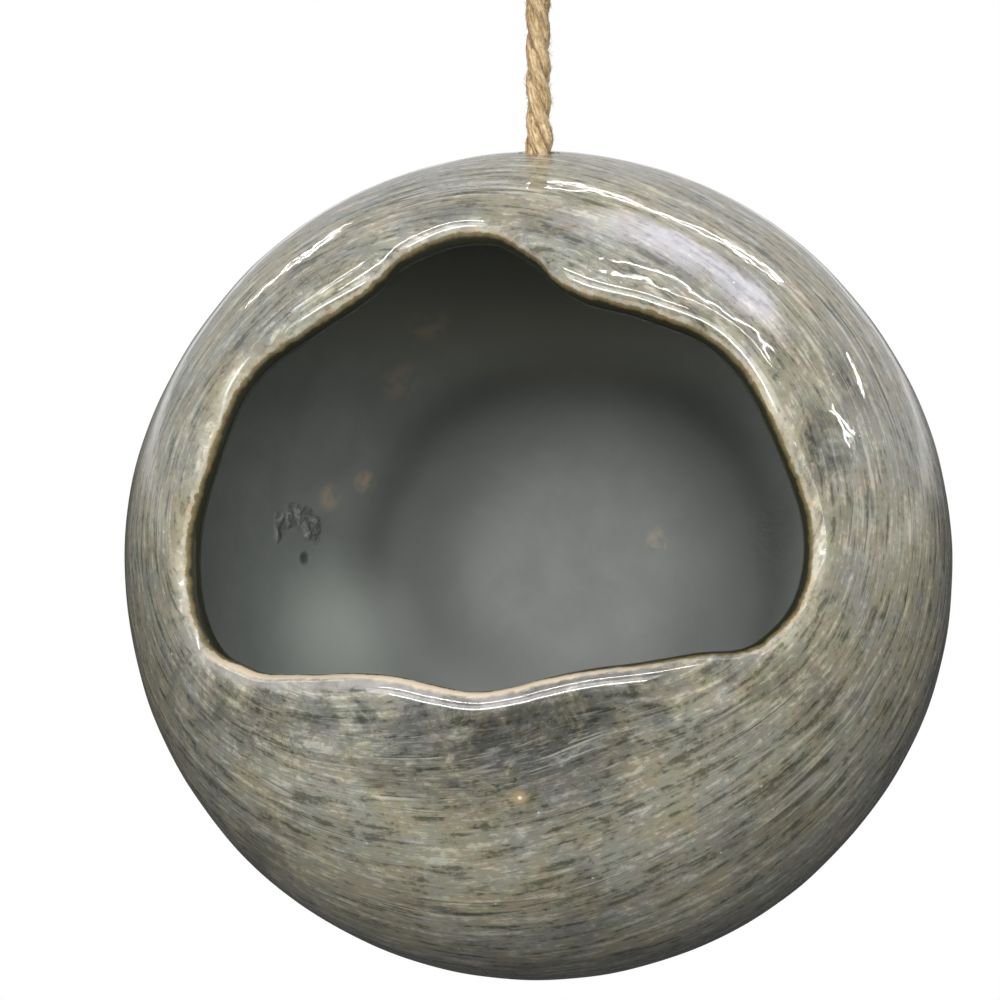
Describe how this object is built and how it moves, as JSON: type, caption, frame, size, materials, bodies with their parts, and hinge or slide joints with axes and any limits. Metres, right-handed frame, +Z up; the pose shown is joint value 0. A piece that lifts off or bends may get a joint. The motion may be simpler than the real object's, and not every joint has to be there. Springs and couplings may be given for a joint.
{
  "type": "hanging vase",
  "caption": "Glazed ceramic ball vase with a wide wavy mouth and a flat foot, hung on a jute rope that runs from a stopper knot inside the ball up to a tied hanging loop.",
  "frame": {"origin": "the point where the inside of the rope's loop rests on its hook", "axes": "+Z up along the hanging rope, -Y towards the side that the mouth faces, +X to the right of someone who faces the mouth"},
  "size_m": [0.17, 0.1675, 0.2887],
  "materials": {
    "glazed_stoneware": "glossy streaked grey-green glaze, bare tan clay at the lip and foot",
    "jute_rope": "fibrous laid rope"
  },
  "bodies": {
    "hanger": {"hanging_loop": "jute_rope"},
    "knot": {"loop_knot": "jute_rope", "loop_tail": "jute_rope"},
    "rope": {"rope_run": "jute_rope"},
    "stopper": {"stopper_knot": "jute_rope", "stopper_tail": "jute_rope"},
    "ball": {"ceramic_ball": "glazed_stoneware"}
  },
  "joints": [
    {"name": "swing_side", "type": "hinge", "parent": "hanger", "child": "knot", "pos_m": [0, 0, -0.048], "axis": [0, 1, 0], "range_deg": [-30, 30]},
    {"name": "swing_front", "type": "hinge", "parent": "knot", "child": "rope", "pos_m": [0, 0, -0.048], "axis": [1, 0, 0], "range_deg": [-30, 30]},
    {"name": "tip", "type": "hinge", "parent": "rope", "child": "stopper", "pos_m": [0, 0, -0.1276], "axis": [1, 0, 0], "range_deg": [-3, 3]},
    {"name": "spin", "type": "hinge", "parent": "stopper", "child": "ball", "pos_m": [0, 0, -0.1276], "axis": [0, 0, 1], "continuous": true}
  ]
}
